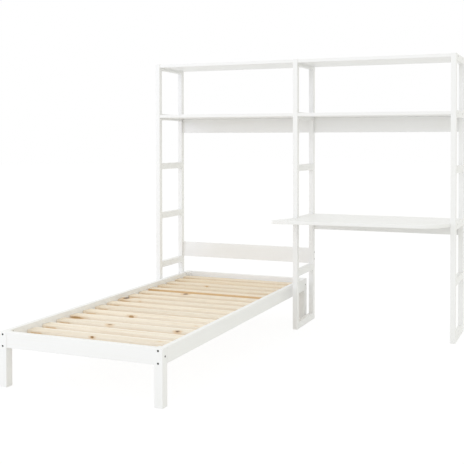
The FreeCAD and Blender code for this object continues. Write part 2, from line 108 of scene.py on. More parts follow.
class Finish:
    """A material or world being made: its node tree, and short ways to add nodes to it."""

    def __init__(self, owner):
        self.owner = owner
        owner.use_nodes = True
        self.tree = owner.node_tree
        self.tree.nodes.clear()

    def node(self, kind, settings=None, values=None, output=0):
        """Add a node of a kind, set its settings first and then its sockets; returns an output."""
        made = self.tree.nodes.new(kind)
        for key, value in (settings or {}).items():
            if key == "stops":
                self.set_stops(made.color_ramp, value)
            else:
                setattr(made, key, value)
        for key, value in (values or {}).items():
            if isinstance(value, Wire):
                self.tree.links.new(value.socket, made.inputs[key])
            else:
                made.inputs[key].default_value = value
        return Wire(self, made.outputs[output]) if made.outputs else None

    @staticmethod
    def set_stops(ramp, stops):
        """Give a colour ramp its (place, colour) stops."""
        while len(ramp.elements) < len(stops):
            ramp.elements.new(1.0)
        for element, (place, colour) in zip(ramp.elements, stops):
            element.position = place
            element.color = colour

    def maths(self, operation, *values):
        """A Math node."""
        return self.node("ShaderNodeMath", {"operation": operation}, dict(enumerate(values)))

    def length(self, vector):
        """Length of a vector."""
        return self.node("ShaderNodeVectorMath", {"operation": "LENGTH"}, {0: vector}, "Value")

    def join(self, x, y, z):
        """A vector from three numbers."""
        return self.node("ShaderNodeCombineXYZ", None, {0: x, 1: y, 2: z})

    def split(self, vector):
        """The three numbers of a vector."""
        first = self.node("ShaderNodeSeparateXYZ", None, {0: vector})
        made = first.socket.node
        return [Wire(self, made.outputs[k]) for k in range(3)]

    def place(self):
        """The point on the piece, in the object's own metres."""
        return self.node("ShaderNodeTexCoord", output="Object")

    def noise(self, vector, scale, detail=3.0, roughness=0.5, output="Fac"):
        """Smooth noise, about 0 to 1, with features 1 / scale across."""
        return self.node(
            "ShaderNodeTexNoise", None,
            {"Vector": vector, "Scale": scale, "Detail": detail, "Roughness": roughness}, output)

    def step(self, value, low, high):
        """0 below low, 1 above high and a smooth rise between; falls instead where low > high."""
        start, end, out = (low, high, (0.0, 1.0)) if low < high else (high, low, (1.0, 0.0))
        return self.node("ShaderNodeMapRange", {"interpolation_type": "SMOOTHSTEP"},
                         {"Value": value, "From Min": start, "From Max": end,
                          "To Min": out[0], "To Max": out[1]})

    def blend(self, share, first, second, kind="MIX"):
        """Colour mix: first where share is 0, second where it is 1."""
        return self.node("ShaderNodeMix", {"data_type": "RGBA", "blend_type": kind},
                         {MIX_SHARE: share, MIX_FIRST: first, MIX_SECOND: second}, MIX_RESULT)

    def bump(self, height, distance, strength):
        """A normal bent by a height."""
        return self.node("ShaderNodeBump", None,
                         {"Height": height, "Distance": distance, "Strength": strength})

    def surface(self, values):
        """Principled surface as the material's output; returns the material."""
        shader = self.node("ShaderNodeBsdfPrincipled", None, values)
        self.node("ShaderNodeOutputMaterial", None, {"Surface": shader})
        return self.owner


def material_finish(name):
    """An empty finish for a new material."""
    return Finish(bpy.data.materials.new(name))


def rgba(colour):
    """A property's colour with full opacity."""
    return (*colour, 1.0)


# ---- mesh tools -----------------------------------------------------------------------------
def swept(rings):
    """Points and faces of a closed body through rings[s, c], with a fan over each end ring.

    Faces look outwards where the rings turn from the second axis to the third about a sweep along
    the first.
    """
    rows, columns = rings.shape[:2]
    poles = np.stack([rings[0].mean(0), rings[-1].mean(0)])
    row, column = np.meshgrid(np.arange(rows - 1), np.arange(columns), indexing="ij")
    here = row * columns + column
    beside = row * columns + (column + 1) % columns
    quads = np.stack([here, beside, beside + columns, here + columns], -1).reshape(-1, 4)
    step = np.arange(columns)
    after = (step + 1) % columns
    last = (rows - 1) * columns
    start_fan = np.stack([np.full(columns, rows * columns), after, step], -1)
    end_fan = np.stack([np.full(columns, rows * columns + 1), last + step, last + after], -1)
    points = np.concatenate([rings.reshape(-1, 3), poles])
    return points, [*quads.tolist(), *start_fan.tolist(), *end_fan.tolist()]


def turned(depth, radius):
    """A closed turned body: rings[s, a] = (depth[s], radius[s, a] cos a, radius[s, a] sin a)."""
    angle = turn_angles(radius.shape[1])
    along = np.broadcast_to(np.asarray(depth)[:, None], radius.shape)
    return swept(np.stack([along, radius * np.cos(angle), radius * np.sin(angle)], -1))


def turn_angles(columns):
    """Evenly spaced angles once round."""
    return np.linspace(0, 2 * math.pi, columns, endpoint=False)


def basis(inward):
    """Three unit vectors, right-handed, the first along inward."""
    first = np.array(inward, float)
    is_upright = abs(first[2]) >= 0.9
    helper = np.array([1.0, 0.0, 0.0]) if is_upright else np.array([0.0, 0.0, 1.0])
    second = np.cross(helper, first)
    second /= np.linalg.norm(second)
    return np.stack([first, second, np.cross(first, second)])


def placed(body, start, inward):
    """A local body at its place: start + depth * inward + the ring's plane."""
    points, faces = body
    return np.asarray(start) + points @ basis(inward), faces


def joined(bodies):
    """One mesh from (points, faces) bodies."""
    all_points, all_faces = [], []
    count = 0
    for points, faces in bodies:
        all_points.append(points)
        all_faces.extend([[corner + count for corner in face] for face in faces])
        count += len(points)
    return np.concatenate(all_points), all_faces


def add_piece(name, points, faces, material, slot, replaced=(), smooth_below=None):
    """Make a mesh piece that rides on the body, with its material; the slot argument is not used."""
    mesh = bpy.data.meshes.new(name)
    mesh.from_pydata(np.asarray(points).tolist(), [], faces)
    mesh.materials.append(material)
    piece = bpy.data.objects.new(name, mesh)
    bpy.context.scene.collection.objects.link(piece)
    if smooth_below is not None:
        mesh.shade_smooth()
        mesh.set_sharp_from_angle(angle=math.radians(smooth_below))
    mesh.validate()
    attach(piece, BODY)
    if replaced:
        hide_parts(*replaced)


def islands(node):
    """Points of each separate solid in a node, found by the edges that join them."""
    mesh = frame["nodes"][node].data
    points = np.empty(3 * len(mesh.vertices))
    mesh.vertices.foreach_get("co", points)
    points, same = np.unique(points.reshape(-1, 3).round(6), axis=0, return_inverse=True)
    edges = np.empty(2 * len(mesh.edges), int)
    mesh.edges.foreach_get("vertices", edges)
    edges = same.reshape(-1)[edges].reshape(-1, 2)
    label = np.arange(len(points))
    settled = False
    while not settled:
        lower = label.copy()
        np.minimum.at(lower, edges[:, 0], label[edges[:, 1]])
        np.minimum.at(lower, edges[:, 1], label[edges[:, 0]])
        settled = bool((lower == label).all())
        label = lower
    return [points[label == k] for k in np.unique(label)]


def long_places(node):
    """(start, inward direction, length) of each long solid in a node; it starts at its wider end."""
    places = []
    end_band = 0.1 * MM
    for points in islands(node):
        low, high = points.min(0), points.max(0)
        axis = int(np.argmax(high - low))
        start, end = (low + high) / 2, (low + high) / 2
        start[axis], end[axis] = low[axis], high[axis]
        across = np.linalg.norm(np.delete(points - start, axis, axis=1), axis=1)
        at_low = across[points[:, axis] < low[axis] + end_band].max()
        at_high = across[points[:, axis] > high[axis] - end_band].max()
        if at_high > at_low:
            start, end = end, start
        length = float(np.abs(end - start).sum())
        places.append((start, (end - start) / length, length))
    return places


def dress(nodes, material):
    """Give CAD nodes a material in every slot."""
    for name in nodes:
        piece = frame["nodes"][name]
        if not piece.material_slots:
            piece.data.materials.append(material)
        for slot in piece.material_slots:
            slot.material = material


# ---- sizes and colours that a user may change ------------------------------------------------
class LacquerSettings(PropertyGroup):
    """White lacquer on pine."""

    colour: FloatVectorProperty(
        name="Colour", description="Lacquer where it is thickest", subtype="COLOR",
        default=(0.888, 0.885, 0.886), min=0, max=1)
    grain_colour: FloatVectorProperty(
        name="Grain colour", description="Lacquer where the grain shows through", subtype="COLOR",
        default=(0.855, 0.848, 0.825), min=0, max=1)
    grain_width: FloatProperty(
        name="Grain width", description="Distance between grain lines", default=4 * MM, unit="LENGTH")
    roughness: FloatProperty(
        name="Roughness", description="Satin gloss, lower is glossier", default=0.42, min=0, max=1)
    coat: FloatProperty(
        name="Clear coat", description="Weight of the lacquer's own sheen", default=0.18, min=0, max=1)


class PineSettings(PropertyGroup):
    """Planed pine of the slats and ledges."""

    early_wood: FloatVectorProperty(
        name="Early wood", description="Pale part of a growth ring", subtype="COLOR",
        default=(0.885, 0.805, 0.685), min=0, max=1)
    # Also the colour of the painted shade on the slats' front faces, on the far slats and low in the
    # gaps.
    late_wood_and_shade_colour: FloatVectorProperty(
        name="Late wood", description="Darker part of a growth ring", subtype="COLOR",
        default=(0.76, 0.60, 0.43), min=0, max=1)
    # Painted highlight: this colour lightens the slats' front faces and a band by their back edges,
    # most near the foot.
    edge_highlight_colour: FloatVectorProperty(
        name="Sap wood", description="Palest wood along a slat's edges", subtype="COLOR",
        default=(0.95, 0.89, 0.79), min=0, max=1)
    # Also the colour of the painted shade on the slats' left ends, by the left rail.
    heart_wood_and_rail_shade: FloatVectorProperty(
        name="Heart wood", description="Resinous brown wood at edges and knots", subtype="COLOR",
        default=(0.64, 0.36, 0.12), min=0, max=1)
    knot: FloatVectorProperty(
        name="Knot", description="Middle of a knot", subtype="COLOR",
        default=(0.10, 0.038, 0.014), min=0, max=1)
    ring_width: FloatProperty(
        name="Ring width", description="Distance between growth rings", default=3.2 * MM,
        unit="LENGTH")
    heart_slat: IntProperty(
        name="Heart wood slat", description="Slat with a heart-wood edge, counted from the foot",
        default=12, min=1, max=16)


class FastenerSettings(PropertyGroup):
    """Bolts, barrel nuts, studs, screws and dowels."""

    head_radius: FloatProperty(
        name="Head radius", description="Bolt head", default=5 * MM, unit="LENGTH")
    head_height: FloatProperty(
        name="Head height", description="Bolt head", default=5 * MM, unit="LENGTH")
    shank_radius: FloatProperty(
        name="Shank radius", description="Bolt shank", default=3 * MM, unit="LENGTH")
    socket_flats: FloatProperty(
        name="Socket flats", description="Hexagon across its flats", default=5 * MM, unit="LENGTH")
    socket_depth: FloatProperty(
        name="Socket depth", description="Hexagon", default=3 * MM, unit="LENGTH")
    thread_pitch: FloatProperty(
        name="Thread pitch", description="From one thread to the next", default=1 * MM, unit="LENGTH")
    screw_head_radius: FloatProperty(
        name="Screw head radius", description="Countersunk head", default=4 * MM, unit="LENGTH")
    screw_radius: FloatProperty(
        name="Screw radius", description="Outside of the thread", default=2 * MM, unit="LENGTH")
    screw_pitch: FloatProperty(
        name="Screw pitch", description="From one thread to the next", default=1.8 * MM, unit="LENGTH")
    dowel_radius: FloatProperty(
        name="Dowel radius", description="Beech pins", default=4 * MM, unit="LENGTH")
    dowel_flutes: IntProperty(
        name="Flutes", description="Grooves round a dowel", default=16, min=4, max=24)
    flute_depth: FloatProperty(
        name="Flute depth", description="Grooves along a dowel", default=0.35 * MM, unit="LENGTH")
    steel: FloatVectorProperty(
        name="Dark steel", description="Bolts and screws", subtype="COLOR",
        default=(0.055, 0.052, 0.05))
    zinc: FloatVectorProperty(
        name="Zinc", description="Barrel nuts and studs", subtype="COLOR", default=(0.60, 0.61, 0.63))
    beech: FloatVectorProperty(
        name="Beech", description="Dowels", subtype="COLOR", default=(0.62, 0.40, 0.22))


class TapeSettings(PropertyGroup):
    """Woven tapes that keep the slats' spacing, and their staples."""

    colour: FloatVectorProperty(
        name="Colour", description="Yarn", subtype="COLOR", default=(0.80, 0.77, 0.68))
    yarn: FloatProperty(name="Yarn", description="Yarn width", default=0.9 * MM, unit="LENGTH")
    droop: FloatProperty(
        name="Droop", description="How far a tape hangs between two slats", default=1.2 * MM,
        unit="LENGTH")
    staple_crown: FloatProperty(
        name="Staple crown", description="Width of a staple", default=11 * MM, unit="LENGTH")
    staple_leg: FloatProperty(
        name="Staple leg", description="Length of a staple's legs", default=8 * MM, unit="LENGTH")
    staple_wire: FloatProperty(
        name="Staple wire", description="Half the wire's width", default=0.6 * MM, unit="LENGTH")
    staple_colour: FloatVectorProperty(
        name="Staple colour", description="Staple wire", subtype="COLOR", default=(0.60, 0.61, 0.63))


class StageSettings(PropertyGroup):
    """Floor, light and camera."""

    camera_place: FloatVectorProperty(
        name="Camera place", description="Where the camera stands", subtype="XYZ", unit="LENGTH",
        default=(1.8639, -4.3708, 1.3027))
    camera_turn: FloatProperty(
        name="Camera turn", description="To the left of +Y", default=math.radians(20.666),
        subtype="ANGLE", unit="ROTATION")
    camera_dip: FloatProperty(
        name="Camera dip", description="Below the horizon", default=math.radians(1.072),
        subtype="ANGLE", unit="ROTATION")
    lens: FloatProperty(name="Lens", description="Focal length in millimetres", default=60.62)
    shift_x: FloatProperty(
        name="Shift X", description="Share of the frame's width", default=-0.1237)
    shift_y: FloatProperty(
        name="Shift Y", description="Share of the frame's width", default=-0.1640)
    floor_colour: FloatVectorProperty(
        name="Floor", description="Pale floor", subtype="COLOR", default=(0.80, 0.80, 0.79))
    sky_light: FloatProperty(
        name="Sky light", description="Strength of the even light", default=0.97)
    sky_colour: FloatVectorProperty(
        name="Sky colour", description="Even light", subtype="COLOR", default=(0.994, 1.0, 0.94))
    floor_light: FloatProperty(
        name="Floor light", description="Light that the floor adds", default=0.05)
    left_light: FloatProperty(
        name="Left light", description="Soft lamp beside the bed, in watts", default=96.0)
    front_light: FloatProperty(
        name="Front light", description="Soft lamp before the bed's foot, in watts", default=51.0)
    lamp_colour: FloatVectorProperty(
        name="Lamp colour", description="Both lamps", subtype="COLOR", default=(0.74, 0.77, 1.0))


SETTINGS = {
    "lacquer": LacquerSettings,
    "pine": PineSettings,
    "fasteners": FastenerSettings,
    "tapes": TapeSettings,
    "stage": StageSettings,
}


class BedFinishSettings(PropertyGroup):
    """All settings of the bed's finish."""

    lacquer: PointerProperty(type=LacquerSettings)
    pine: PointerProperty(type=PineSettings)
    fasteners: PointerProperty(type=FastenerSettings)
    tapes: PointerProperty(type=TapeSettings)
    stage: PointerProperty(type=StageSettings)


# ---- lacquer --------------------------------------------------------------------------------
FIBRE_STRETCH = 0.02          # grain features are this much narrower than they are long
LINE_SHARE = 0.55             # how much of the grain's colour shows in its lines
BROAD_SHARE = 0.30            # the same in broad soft patches


def grain_axis(node):
    """The axis of a white piece's grain: up posts and legs, back along gables and side rails."""
    if "post" in node or "bed_leg" in node:
        return "Z"
    if "gable" in node or "side_rail" in node:
        return "Y"
    return "X"


def grain_space(finish, axis):
    """The piece's coordinates as (along the grain, across, through)."""
    x, y, z = finish.split(finish.place())
    return {"X": (x, y, z), "Y": (y, z, x), "Z": (z, x, y)}[axis]


def lacquer_finish(axis, look):
    """Satin white lacquer with fine open grain along an axis."""
    finish = material_finish(f"white_lacquer_along_{axis.lower()}")
    along, across, through = grain_space(finish, axis)
    stretched = finish.join(along * FIBRE_STRETCH, across, through)
    lines = finish.noise(stretched, 1 / look.grain_width, detail=4.0, roughness=0.62)
    pores = finish.noise(stretched, 5 / look.grain_width, detail=2.0)
    broad = finish.noise(finish.join(along * 0.2, across, through), 14.0, detail=2.0)
    show_through = (finish.step(lines, low=0.52, high=0.78) * LINE_SHARE
                    + finish.step(broad, low=0.45, high=0.8) * BROAD_SHARE)
    colour = finish.blend(show_through, rgba(look.colour), rgba(look.grain_colour))
    flow = finish.noise(finish.place(), 420.0, detail=2.0)
    height = lines * 0.5 + pores * 0.3 + flow * 0.2
    gloss = finish.noise(finish.place(), 9.0, roughness=0.55)
    return finish.surface({
        "Base Color": colour,
        "Roughness": look.roughness + (gloss - 0.5) * 0.14 + (pores - 0.5) * 0.08,
        "Coat Weight": look.coat,
        "Coat Roughness": 0.22,
        "IOR": 1.46,
        "Normal": finish.bump(height, 0.12 * MM, 0.35),
    })


class LacquerOperator(Operator):
    """Give every white piece its lacquer, with the grain along the piece"""

    bl_idname = "bed_finish.lacquer"
    bl_label = "Lacquer the white pieces"

    def execute(self, context):
        look = context.scene.bed_finish.lacquer
        for axis in "XYZ":
            dress([n for n in WHITE_NODES if grain_axis(n) == axis], lacquer_finish(axis, look))
        return {"FINISHED"}


# ---- pine -----------------------------------------------------------------------------------
FIRST_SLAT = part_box(SLATS[0])
SECOND_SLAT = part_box(SLATS[1])
SLAT_PITCH = SECOND_SLAT[0].y - FIRST_SLAT[0].y
SLAT_HALF = (FIRST_SLAT[1].y - FIRST_SLAT[0].y) / 2
FIRST_MIDDLE = (FIRST_SLAT[0].y + FIRST_SLAT[1].y) / 2
SLAT_TOP = FIRST_SLAT[1].z

# Knots that show: slat counted from the foot, x, place across the slat, depth below its top,
# size along the grain, size across it, and strength.
FRONT_EDGE = -SLAT_HALF
BACK_EDGE = SLAT_HALF
KNOTS = (
    (2, -0.581, FRONT_EDGE, 0.004, 0.013, 0.0070, 0.75),
    (2, -0.189, 0.000, 0.000, 0.014, 0.0070, 0.30),
    (4, -0.210, -0.028, 0.000, 0.016, 0.0100, 0.98),
    (4, -0.645, -0.026, 0.000, 0.018, 0.0085, 0.85),
    (4, -0.930, 0.034, 0.000, 0.040, 0.0140, 0.50),
    (5, -0.960, FRONT_EDGE, 0.012, 0.045, 0.0100, 0.55),
    (5, -0.171, -0.017, 0.000, 0.012, 0.0070, 0.35),
    (6, -0.660, FRONT_EDGE, 0.009, 0.021, 0.0105, 0.58),
    (9, -0.835, FRONT_EDGE, 0.001, 0.012, 0.0075, 0.28),
    (9, -0.966, 0.012, 0.000, 0.022, 0.0300, 1.00),
    (11, -0.664, 0.013, 0.000, 0.020, 0.0200, 1.00),
    (14, -0.672, FRONT_EDGE, 0.008, 0.014, 0.0080, 0.45),
)

# A knot's look, in knot sizes from its middle: where each part ends and where it is full.
SPOT_END, SPOT_FULL = 1.1, 0.55
HALO_END, HALO_FULL = 2.6, 0.9
BEND_END, BEND_FULL = 3.2, 0.6
SPOT_WOBBLE = 0.7             # how uneven a spot's outline is
HALO_SHARE = 0.55             # strength of the halo beside that of the spot
NO_KNOT_NEAR = 90.0
OTHER_SLAT_AWAY = 50.0        # added to the distance for each slat between

# Parts of a slat's tone: the same on all, its own, in broad streaks and in fine fibres.
BASE_TONE, SLAT_TONE, STREAK_TONE, FIBRE_TONE = 0.75, 0.10, 0.30, 0.12
LATE_SHARE = 0.62             # how much of the late wood's colour shows in a ring
RESIN_SHARE = 0.65            # the same in a resin streak
PALE_TINT = (1.012, 1.045, 1.09, 1.0)       # tint at the foot, on the desk's side
DEEP_TINT = (0.975, 0.94, 0.875, 1.0)       # tint at the wall, on the side away from the desk
PINKISH_WOOD = (0.83, 0.73, 0.60, 1.0)
DEEPER_PER_Y, DEEPER_PER_X, DEEPER_START = 0.55, -0.35, 0.31    # from 0 for pale to 1 for deep
PITH_SPREAD, PITH_WANDER, PITH_SKEW = 0.13, 0.05, 0.03  # between slats, along one, and its slope
PITH_DEPTH, PITH_DEPTH_SPREAD = 0.03, 0.05
RING_BEND = 0.006             # how far rings wander, and how far a knot pushes them
FRONT_HIGHLIGHT, BACK_HIGHLIGHT = 0.35, 0.80          # share of painted highlight at each edge of a slat near the foot
FAR_FACE_SHADE, GAP_FACE_SHADE = 0.35, 0.30            # share of painted shade on the front faces: on far slats, and low in the gap
HEART_EDGE, END_SHADE_SHARE = 0.70, 0.55         # share of heart wood at the brown heart edge, and of painted shade at the slats' left ends
SHADED_END_X = -0.945            # x of the painted shade on the slats' left ends, by the left rail


def knot_distance(finish, x, across, depth, index, knot):
    """Distance to a knot in knot sizes, drawn out along the grain; far away on other slats."""
    slat, knot_x, knot_across, knot_depth, long_size, size = knot[:6]
    offset = finish.join((x - knot_x) / long_size, (across - knot_across) / size,
                         (depth - knot_depth) / size)
    other_slat = finish.maths("ABSOLUTE", index - (slat - 1)) * OTHER_SLAT_AWAY
    return finish.length(offset) + other_slat


def knot_masks(finish, x, across, depth, index, knots):
    """Distance to the nearest knot, then the share of its dark core and of the brown round it."""
    wobble = finish.noise(finish.join(x, across, depth), 260.0, detail=2.0)
    nearest, core, brown = NO_KNOT_NEAR, 0.0, 0.0
    for knot in knots:
        strength = knot[6]
        distance = knot_distance(finish, x, across, depth, index, knot)
        nearest = finish.maths("MINIMUM", distance, nearest)
        spot = finish.step(distance + (wobble - 0.5) * SPOT_WOBBLE, SPOT_END, SPOT_FULL)
        halo = finish.step(distance, HALO_END, HALO_FULL) * (HALO_SHARE * strength)
        # A weak knot is a brown spot alone, and a strong one has a dark core.
        core_share = max(0.0, 1.6 * strength - 0.6)
        brown_share = min(1.0, 1.5 * strength)
        core = finish.maths("MAXIMUM", spot * core_share, core)
        spot_and_halo = finish.maths("MAXIMUM", spot * brown_share, halo)
        brown = finish.maths("MAXIMUM", spot_and_halo, brown)
    return nearest, core, brown


def pine_finish(look, knots):
    """Planed pine: growth rings about a wandering pith, fibres, resin streaks and knots.

    Each slat is counted from its place, so that its rings, tone and pith differ from its
    neighbours'. Painted highlights make the edges paler on the slats near the foot, painted shade
    darkens the front faces low in the gaps and on the far slats and browns them low near the left
    ends, where the left rail shades them; one slat's front edge is brown heart wood, and the wood
    is deeper in tone towards the wall and the left.
    """
    finish = material_finish("planed_pine")
    x, y, z = finish.split(finish.place())
    from_first = (y - FIRST_MIDDLE) / SLAT_PITCH
    index = finish.maths("FLOOR", from_first + 0.5)
    across = (from_first - index) * SLAT_PITCH
    depth = SLAT_TOP - z
    chance = finish.node(
        "ShaderNodeTexWhiteNoise", {"noise_dimensions": "1D"}, {"W": index + 0.5}, "Color")
    chance_a, chance_b, chance_c = finish.split(chance)
    nearest, core, brown = knot_masks(finish, x, across, depth, index, knots)

    slow = finish.noise(finish.join(x * 0.9, across * 4.0, index * 7.3), 1.6, detail=2.0)
    pith_across = ((chance_a - 0.5) * PITH_SPREAD + (slow - 0.5) * PITH_WANDER
                   + x * (chance_c - 0.5) * PITH_SKEW)
    pith_depth = PITH_DEPTH + chance_b * PITH_DEPTH_SPREAD
    ripple_space = finish.join(x * 3.0, across * 25.0, depth * 25.0 + index * 3.1)
    ripple = finish.noise(ripple_space, 1.0, roughness=0.55)
    radius = finish.length(finish.join(across - pith_across, depth - pith_depth, 0.0))
    around_knot = finish.step(nearest, BEND_END, BEND_FULL)
    radius = radius + (ripple - 0.5) * RING_BEND + around_knot * RING_BEND
    ring = finish.maths("FRACT", radius / look.ring_width)
    # Late wood darkens slowly towards the end of a ring and stops abruptly.
    late = finish.step(ring, low=0.35, high=0.86) * finish.step(ring, 1.0, 0.93)

    fibre_space = finish.join(x * FIBRE_STRETCH, across, depth + index * 0.7)
    fibres = finish.noise(fibre_space, 900.0, detail=4.0, roughness=0.65)
    streaks = finish.noise(fibre_space, 130.0, detail=2.0)
    resin_space = finish.join(x * 2.2, across * 70.0, depth * 40.0 + index * 5.7)
    resin = finish.step(finish.noise(resin_space, 1.0, detail=2.0), low=0.54, high=0.68)

    colour = finish.blend(late * LATE_SHARE, rgba(look.early_wood), rgba(look.late_wood_and_shade_colour))
    tone = chance_b * SLAT_TONE + streaks * STREAK_TONE + fibres * FIBRE_TONE + BASE_TONE
    toned = finish.join(tone, tone * 0.995, tone * 0.985)
    colour = finish.blend(1.0, colour, toned, "MULTIPLY")
    colour = finish.blend(resin * RESIN_SHARE, colour, rgba(look.late_wood_and_shade_colour))
    # deeper also fades the painted highlights and grows the painted shade on the front faces towards
    # the far slats.
    deeper = finish.maths(
        "MAXIMUM", y * DEEPER_PER_Y + x * DEEPER_PER_X + DEEPER_START, 0.0)
    colour = finish.blend(1.0, colour, finish.blend(deeper, PALE_TINT, DEEP_TINT), "MULTIPLY")
    pinkish = finish.step(chance_c, low=0.55, high=0.95) * 0.5
    colour = finish.blend(pinkish, colour, PINKISH_WOOD)

    # Painted highlight: the front face and a band by the back edge are lightened towards the edge
    # highlight colour, most on the slats near the foot.
    front_edge = finish.step(across, FRONT_EDGE + 1.6 * MM, FRONT_EDGE + 0.2 * MM)
    back_edge = finish.step(across, BACK_EDGE - 26 * MM, BACK_EDGE - 12 * MM)
    pale = finish.maths("MAXIMUM", front_edge * FRONT_HIGHLIGHT, back_edge * BACK_HIGHLIGHT)
    colour = finish.blend(pale * (1.0 - deeper), colour, rgba(look.edge_highlight_colour))
    # Painted shade: the front faces darken towards the late wood on the far slats and low down, deep
    # in the gap behind the slat in front.
    low_on_edge = finish.step(depth, 7 * MM, 14 * MM)
    front_face_shade = front_edge * (deeper * FAR_FACE_SHADE + low_on_edge * GAP_FACE_SHADE)
    colour = finish.blend(front_face_shade, colour, rgba(look.late_wood_and_shade_colour))

    is_heart = finish.step(finish.maths("ABSOLUTE", index - (look.heart_slat - 1)), 0.6, 0.4)
    ragged = across + (streaks - 0.5) * (6 * MM)
    heart_edge = finish.step(ragged, FRONT_EDGE + 6 * MM, FRONT_EDGE + 1 * MM)
    colour = finish.blend(is_heart * heart_edge * HEART_EDGE, colour, rgba(look.heart_wood_and_rail_shade))
    # Painted shade: the front faces turn brown low down near their left ends, where the left rail
    # shades them.
    left_end = finish.step(finish.maths("ABSOLUTE", x - SHADED_END_X), 45 * MM, 25 * MM)
    left_end_shade = front_edge * finish.step(depth, 6 * MM, 12 * MM) * left_end * END_SHADE_SHARE
    colour = finish.blend(left_end_shade, colour, rgba(look.heart_wood_and_rail_shade))

    colour = finish.blend(brown, colour, rgba(look.heart_wood_and_rail_shade))
    colour = finish.blend(core, colour, rgba(look.knot))
    height = late * 0.5 + fibres * 0.5 - core * 0.6
    return finish.surface({
        "Base Color": colour,
        "Roughness": 0.62 - late * 0.08 - core * 0.12,
        "IOR": 1.45,
        "Normal": finish.bump(height, 0.2 * MM, 0.4),
    })


class PineOperator(Operator):
    """Give the slats and their ledges the planed pine"""

    bl_idname = "bed_finish.pine"
    bl_label = "Finish the slats"

    def execute(self, context):
        material = pine_finish(context.scene.bed_finish.pine, KNOTS)
        dress(SLATS + ["slat_ledge_left", "slat_ledge_right"], material)
        return {"FINISHED"}


# ---- fasteners ------------------------------------------------------------------------------
BOLT_THREAD_LENGTH = 26 * MM
THREAD_ROOT = 0.82            # radius at the foot of a machine thread, as a share of the shank's
THREAD_END = 0.72             # the same of the thread's cut end
SCREW_ROOT = 0.68             # the same at the foot of a wood screw's thread


def hexagon(angle, flats):
    """Distance from the middle of a hexagon to its side, at an angle."""
    sector = math.pi / 3
    return flats / 2 / np.cos((angle + sector / 2) % sector - sector / 2)


def thread(depth, angle, start, end, pitch, core, crest):
    """Radius of a screw thread: core + (crest - core) * tooth, the tooth climbing once per turn.

    tooth = 1 - |2 frac(depth / pitch - angle / 2 pi) - 1|, faded in at the start and out at the end.
    """
    turns = depth[:, None] / pitch - angle[None, :] / (2 * math.pi)
    tooth = 1 - np.abs(2 * (turns % 1.0) - 1)
    fade = np.clip(np.minimum(depth - start, end - depth) / pitch, 0, 1)[:, None]
    return core + (crest - core) * (1 - fade + fade * tooth)


def plain_rings(radii, columns):
    """Round rings of the given radii."""
    return np.repeat(np.asarray(radii, float)[:, None], columns, axis=1)


def bolt_body(length, look):
    """A cap bolt: hexagon socket, eased head, smooth shank and threaded end.

    The rings go from the socket's floor up to the head's face, over it and down to the tip.
    """
    columns = 30
    angle = turn_angles(columns)
    socket = hexagon(angle, look.socket_flats)
    head, height, shank = look.head_radius, look.head_height, look.shank_radius
    thread_start = length - BOLT_THREAD_LENGTH
    thread_depth = np.arange(thread_start, length - 0.8 * MM, look.thread_pitch / 4)
    depth = np.concatenate([
        [look.socket_depth, 0.4 * MM, 0.0, 0.0, 0.12 * MM, 0.5 * MM, height - 0.2 * MM, height, height,
         height + 0.4 * MM, thread_start - 0.2 * MM], thread_depth, [length]])
    radius = np.concatenate([
        np.stack([socket, socket, socket + 0.3 * MM]),
        plain_rings([head - 0.6 * MM, head - 0.2 * MM, head, head, head - 0.2 * MM, shank + 0.4 * MM,
                     shank, shank], columns),
        thread(thread_depth, angle, thread_start, length, look.thread_pitch, shank * THREAD_ROOT,
               shank),
        plain_rings([shank * THREAD_END], columns)])
    return turned(depth, radius)


def stud_body(length, look):
    """A rod threaded from end to end, with chamfered ends."""
    columns = 24
    shank = look.shank_radius
    depth = np.arange(0.6 * MM, length - 0.6 * MM, look.thread_pitch / 5)
    root = shank * THREAD_ROOT
    threads = thread(depth, turn_angles(columns), 0.0, length, look.thread_pitch, root, shank)
    ends = plain_rings([shank * THREAD_END], columns)
    return turned(np.concatenate([[0.0], depth, [length]]), np.concatenate([ends, threads, ends]))


def screw_body(length, look):
    """A countersunk wood screw: cross recess, cone under the head, coarse thread and point.

    The recess has radius 0.5 + 1.5 |cos 2a|^3 mm. The rings go from its floor over the head and
    down to the point.
    """
    columns = 32
    angle = turn_angles(columns)
    head, shank = look.screw_head_radius, look.screw_radius
    cross = 0.5 * MM + 1.5 * MM * np.abs(np.cos(2 * angle)) ** 3
    core = shank * SCREW_ROOT
    thread_start = 0.4 * length
    thread_depth = np.arange(thread_start, length - 2.5 * MM, look.screw_pitch / 6)
    depth = np.concatenate([
        [1.7 * MM, 0.0, 0.0, 0.15 * MM, head - shank, thread_start - 0.3 * MM],
        thread_depth, [length - 2.3 * MM, length - 0.2 * MM, length]])
    radius = np.concatenate([
        np.stack([cross * 0.45, cross]),
        plain_rings([head - 0.15 * MM, head, shank, shank], columns),
        thread(thread_depth, angle, thread_start, length, look.screw_pitch, core, shank),
        plain_rings([core, 0.25 * MM, 0.05 * MM], columns)])
    return turned(depth, radius)


def dowel_body(length, look):
    """A pin with straight flutes, radius = r - f (1/2 + 1/2 cos(n a))^4, and chamfered ends."""
    columns = 80
    angle = turn_angles(columns)
    flute = (0.5 + 0.5 * np.cos(look.dowel_flutes * angle)) ** 4
    body = look.dowel_radius - look.flute_depth * flute
    chamfer = 0.8 * MM
    depth = np.array([0.0, chamfer, 0.5 * length, length - chamfer, length])
    radius = np.stack([body - chamfer, body, body, body, body - chamfer])
    return turned(depth, radius)


